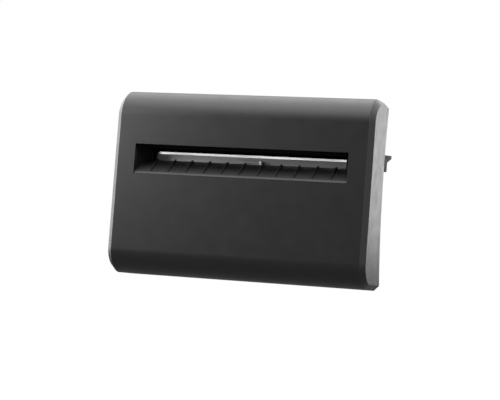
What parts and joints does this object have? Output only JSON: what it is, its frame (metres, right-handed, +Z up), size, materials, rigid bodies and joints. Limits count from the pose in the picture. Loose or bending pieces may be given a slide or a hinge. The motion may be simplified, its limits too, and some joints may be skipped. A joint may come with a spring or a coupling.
{
  "type": "label printer cutter unit",
  "caption": "Hook-on guillotine cutter unit for a label printer: black moulded cover with a ribbed label exit slot, steel blades, rack drive and motor on a sheet chassis.",
  "frame": {"origin": "centre of the rear mounting face of the chassis", "axes": "+X to the right seen from the front, +Y out of the mounting face towards the printer, +Z up; the label leaves towards -Y"},
  "size_m": [0.16, 0.0522, 0.111],
  "materials": {
    "cover_plastic": "fine moulded grain, satin",
    "inner_plastic": "moulded black",
    "hook_black": "moulded black",
    "connector_plastic": "natural nylon",
    "gear_plastic": "natural acetal",
    "blade_steel": "ground",
    "zinc_sheet": "zinc-plated sheet",
    "zinc_screw": "zinc-plated",
    "polished_steel": "polished",
    "brass": "turned",
    "board_green": "solder mask",
    "red_sleeve": "soft sleeve",
    "black_sleeve": "soft sleeve"
  },
  "bodies": {
    "frame": {"beam_screw_left": "zinc_screw", "beam_screw_right": "zinc_screw", "blade_beam": "zinc_sheet", "blade_clamp": "blade_steel", "board_screw_1": "zinc_screw", "board_screw_2": "zinc_screw", "board_spacer_1": "brass", "board_spacer_2": "brass", "bracket_screw_1": "zinc_screw", "bracket_screw_2": "zinc_screw", "chassis": "zinc_sheet", "circuit_board": "board_green", "cover_screw_1": "zinc_screw", "cover_screw_2": "zinc_screw", "cover_screw_3": "zinc_screw", "cover_screw_4": "zinc_screw", "entry_guide": "inner_plastic", "exit_chute": "inner_plastic", "fixed_blade": "blade_steel", "fixed_blade_screw_1": "zinc_screw", "fixed_blade_screw_2": "zinc_screw", "front_cover": "cover_plastic", "guide_pin_lower_left": "polished_steel", "guide_pin_lower_right": "polished_steel", "guide_pin_upper_left": "polished_steel", "guide_pin_upper_right": "polished_steel", "home_sensor": "inner_plastic", "hook_screw_left": "zinc_screw", "hook_screw_right": "zinc_screw", "idler_axle": "polished_steel", "idler_clip": "polished_steel", "interface_connector": "connector_plastic", "motor_bracket": "zinc_sheet", "motor_can": "polished_steel", "motor_end_cap": "inner_plastic", "motor_lead_black": "black_sleeve", "motor_lead_red": "red_sleeve", "motor_screw_1": "zinc_screw", "motor_screw_2": "zinc_screw", "mounting_hook_left": "hook_black", "mounting_hook_right": "hook_black", "pressure_spring_left": "polished_steel", "pressure_spring_right": "polished_steel", "shaft_bush_left": "brass", "shaft_bush_right": "brass"},
    "carriage": {"blade_carrier": "zinc_sheet", "moving_blade": "blade_steel", "moving_blade_screw_1": "zinc_screw", "moving_blade_screw_2": "zinc_screw", "rack_left": "gear_plastic", "rack_right": "gear_plastic"},
    "shaft": {"cross_shaft": "polished_steel", "pinion_left": "gear_plastic", "pinion_right": "gear_plastic", "final_gear": "gear_plastic"},
    "idler": {"idler_gear": "gear_plastic"},
    "rotor": {"rotor_shaft": "polished_steel", "motor_pinion": "brass"}
  },
  "joints": [
    {"name": "cross_shaft_turn", "type": "hinge", "parent": "frame", "child": "shaft", "pos_m": [0, -0.01734, -0.0105], "axis": [-1, 0, 0], "range_deg": [0, 97.8]},
    {"name": "blade_slide", "type": "slide", "parent": "frame", "child": "carriage", "axis": [0, 0, -1], "range_m": [0, 0.00825]},
    {"name": "idler_turn", "type": "hinge", "parent": "frame", "child": "idler", "pos_m": [0, -0.01594, -0.02248], "axis": [1, 0, 0], "range_deg": [0, 294.5]},
    {"name": "motor_turn", "type": "hinge", "parent": "frame", "child": "rotor", "pos_m": [0, -0.01794, -0.03386], "axis": [-1, 0, 0], "range_deg": [0, 1058.5]}
  ],
  "couplings": [
    {"joint": "blade_slide", "follows": "cross_shaft_turn", "m_per_rad": 0.0048},
    {"joint": "idler_turn", "follows": "cross_shaft_turn", "ratio": 3},
    {"joint": "motor_turn", "follows": "cross_shaft_turn", "ratio": 10.8}
  ]
}
